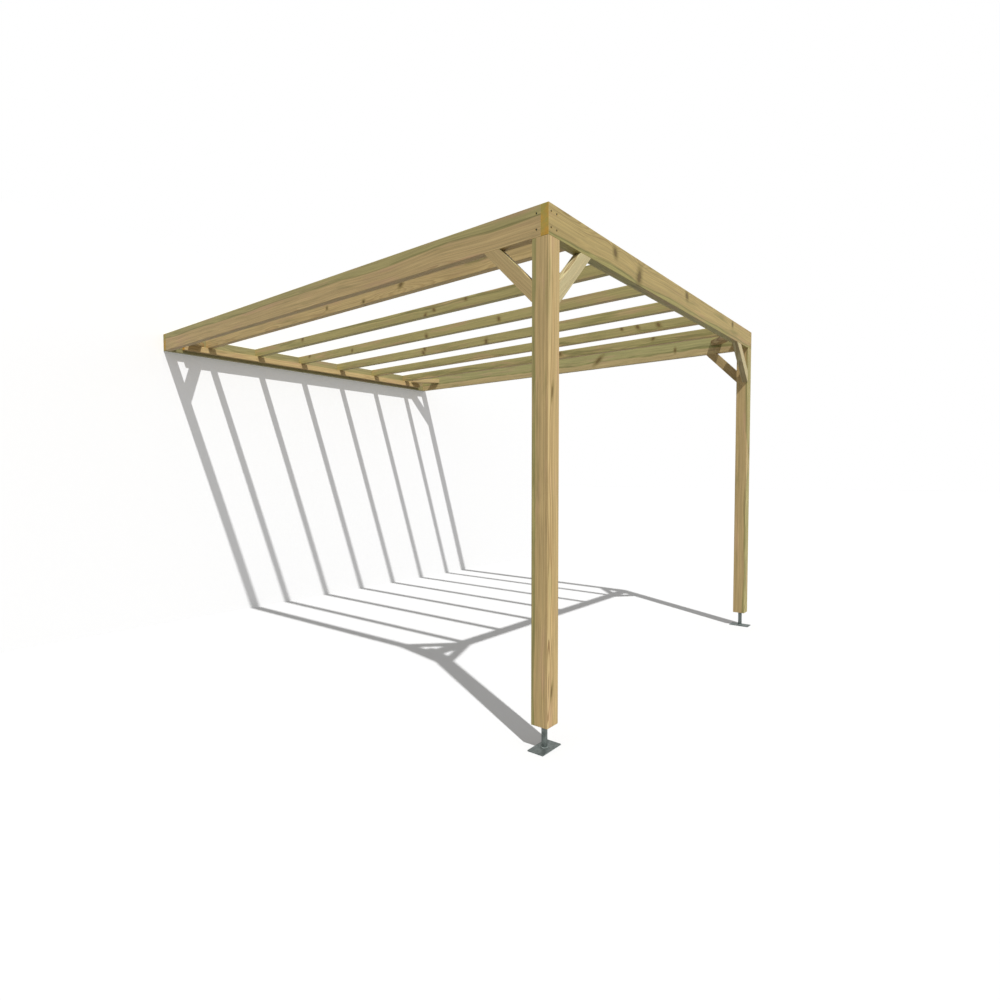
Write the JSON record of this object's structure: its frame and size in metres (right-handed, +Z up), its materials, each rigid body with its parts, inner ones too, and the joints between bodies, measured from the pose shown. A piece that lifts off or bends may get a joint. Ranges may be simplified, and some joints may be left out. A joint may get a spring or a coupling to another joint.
{
  "type": "lean-to pergola",
  "caption": "Open flat timber roof frame held by a wall ledger and by front posts on raised steel feet, with rafters on bearers and short diagonal braces at its corners.",
  "frame": {"origin": "centre of the wall ledger's back face, the face that is fixed to the wall", "axes": "+X along the wall to the right as seen from the front, +Y into the wall, +Z up; the pergola reaches from the wall towards -Y and the ground is at z = -2.535"},
  "size_m": [3.2475, 4.1775, 2.61],
  "materials": {
    "beam_timber": "pressure-treated planed softwood, matt",
    "bearer_timber": "pressure-treated planed softwood, matt",
    "rafter_timber": "pressure-treated planed softwood, matt",
    "post_timber": "pressure-treated planed softwood, matt",
    "brace_timber": "pressure-treated planed softwood, matt",
    "foot_steel": "dull grey hot-dip galvanised steel"
  },
  "bodies": {
    "root": {"wall_ledger": "beam_timber", "front_beam": "beam_timber", "side_beam_left": "beam_timber", "side_beam_right": "beam_timber", "wall_bearer": "bearer_timber", "front_bearer": "bearer_timber", "rafter_1": "rafter_timber", "rafter_2": "rafter_timber", "rafter_3": "rafter_timber", "rafter_4": "rafter_timber", "rafter_5": "rafter_timber", "rafter_6": "rafter_timber", "post_left": "post_timber", "post_right": "post_timber", "front_brace_left": "brace_timber", "front_brace_right": "brace_timber", "side_brace_left": "brace_timber", "side_brace_right": "brace_timber", "wall_brace_left": "brace_timber", "wall_brace_right": "brace_timber", "corner_brace_left": "brace_timber", "corner_brace_right": "brace_timber", "foot_stem_left": "foot_steel", "foot_stem_right": "foot_steel", "foot_plate_left": "foot_steel", "foot_plate_right": "foot_steel"}
  },
  "joints": []
}
